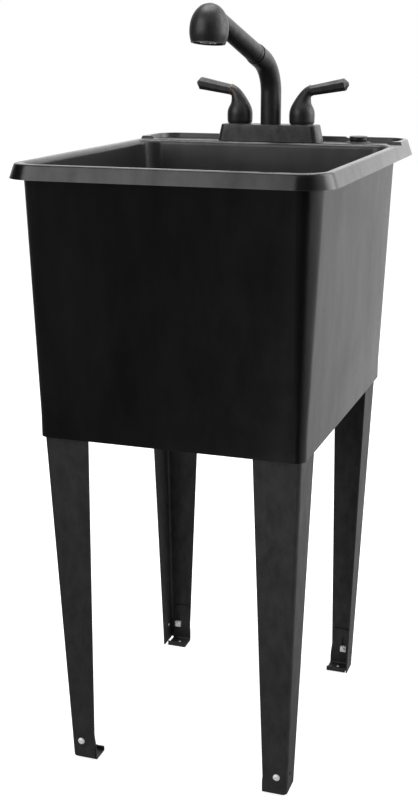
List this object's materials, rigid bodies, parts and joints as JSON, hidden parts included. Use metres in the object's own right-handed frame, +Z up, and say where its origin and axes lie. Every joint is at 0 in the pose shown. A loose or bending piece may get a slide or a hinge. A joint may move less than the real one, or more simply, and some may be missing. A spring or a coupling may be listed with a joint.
{
  "type": "utility laundry sink",
  "caption": "Free-standing utility laundry sink: moulded tub on steel angle legs with levelling feet, a rear deck tap with two levers and a swivelling pull-out spray spout, and a drain stopper.",
  "frame": {"origin": "on the floor, under the middle of the tub's rim", "axes": "+Z up, the user stands on the -Y side, the tap deck is on the +Y side, +X to the user's right"},
  "size_m": [0.44, 0.583, 1.0831],
  "materials": {
    "tub_plastic": "moulded black plastic, satin",
    "leg_steel": "black powder coat",
    "zinc": "zinc plated",
    "drain_steel": "satin",
    "drain_plastic": "plain moulded",
    "seal_rubber": "matt",
    "stopper_black": "satin",
    "tap_black": "satin black coating",
    "seat_black": "satin",
    "brass": "turned",
    "hot_mark": "dark red, satin",
    "cold_mark": "dark blue, satin",
    "hose_black": "braided black",
    "outlet_silver": "satin silver"
  },
  "bodies": {
    "sink": {"tub": "tub_plastic", "leg_front_left": "leg_steel", "leg_front_right": "leg_steel", "leg_rear_left": "leg_steel", "leg_rear_right": "leg_steel", "foot_screws": "zinc", "foot_nuts": "zinc", "drain_flange": "drain_steel", "drain_gasket": "seal_rubber", "drain_washer": "zinc", "drain_locknut": "drain_plastic", "drain_tailpiece": "drain_plastic", "tailpiece_nut": "drain_plastic", "faucet_base": "tap_black", "base_gasket": "seal_rubber", "mixing_body": "brass", "hot_valve_body": "brass", "hot_mounting_nut": "drain_plastic", "hot_mounting_washer": "drain_plastic", "hot_cartridge": "brass", "hot_seat_ring": "seat_black", "cold_valve_body": "brass", "cold_mounting_nut": "drain_plastic", "cold_mounting_washer": "drain_plastic", "cold_cartridge": "brass", "cold_seat_ring": "seat_black"},
    "spout": {"spout_tube": "tap_black", "spout_bushing": "seat_black", "spout_retainer": "zinc", "spray_hose": "hose_black", "hose_fitting": "brass"},
    "wand": {"spray_wand": "tap_black", "spray_head": "tap_black", "wand_collar": "tap_black", "spray_face": "seat_black", "aerator": "outlet_silver"},
    "stopper": {"stopper_plug": "seal_rubber", "stopper_knob": "stopper_black"},
    "hot_tap": {"hot_handle": "tap_black", "hot_index_ring": "hot_mark", "hot_stem": "brass", "hot_set_screw": "zinc"},
    "cold_tap": {"cold_handle": "tap_black", "cold_index_ring": "cold_mark", "cold_stem": "brass", "cold_set_screw": "zinc"},
    "front_left_foot": {"foot_front_left": "leg_steel"},
    "front_right_foot": {"foot_front_right": "leg_steel"},
    "rear_left_foot": {"foot_rear_left": "leg_steel"},
    "rear_right_foot": {"foot_rear_right": "leg_steel"}
  },
  "joints": [
    {"name": "spout_swivel", "type": "hinge", "parent": "sink", "child": "spout", "pos_m": [0, 0.2105, 0.9044], "axis": [0, 0, 1], "range_deg": [-80, 100]},
    {"name": "wand_pull", "type": "slide", "parent": "spout", "child": "wand", "axis": [-0.1661, -0.9142, 0.3697], "range_m": [0, 0.3]},
    {"name": "hot_turn", "type": "hinge", "parent": "sink", "child": "hot_tap", "pos_m": [-0.0508, 0.2105, 0.9044], "axis": [0, 0, 1], "range_deg": [0, 90]},
    {"name": "cold_turn", "type": "hinge", "parent": "sink", "child": "cold_tap", "pos_m": [0.0508, 0.2105, 0.9044], "axis": [0, 0, 1], "range_deg": [-90, 0]},
    {"name": "stopper_lift", "type": "slide", "parent": "sink", "child": "stopper", "axis": [0, 0, 1], "range_m": [0, 0.06]},
    {"name": "front_left_foot_adjust", "type": "slide", "parent": "sink", "child": "front_left_foot", "axis": [0, 0.0439, -0.999], "range_m": [0, 0.018]},
    {"name": "front_right_foot_adjust", "type": "slide", "parent": "sink", "child": "front_right_foot", "axis": [0, 0.0439, -0.999], "range_m": [0, 0.018]},
    {"name": "rear_left_foot_adjust", "type": "slide", "parent": "sink", "child": "rear_left_foot", "axis": [0, -0.0449, -0.999], "range_m": [0, 0.018]},
    {"name": "rear_right_foot_adjust", "type": "slide", "parent": "sink", "child": "rear_right_foot", "axis": [0, -0.0449, -0.999], "range_m": [0, 0.018]}
  ]
}
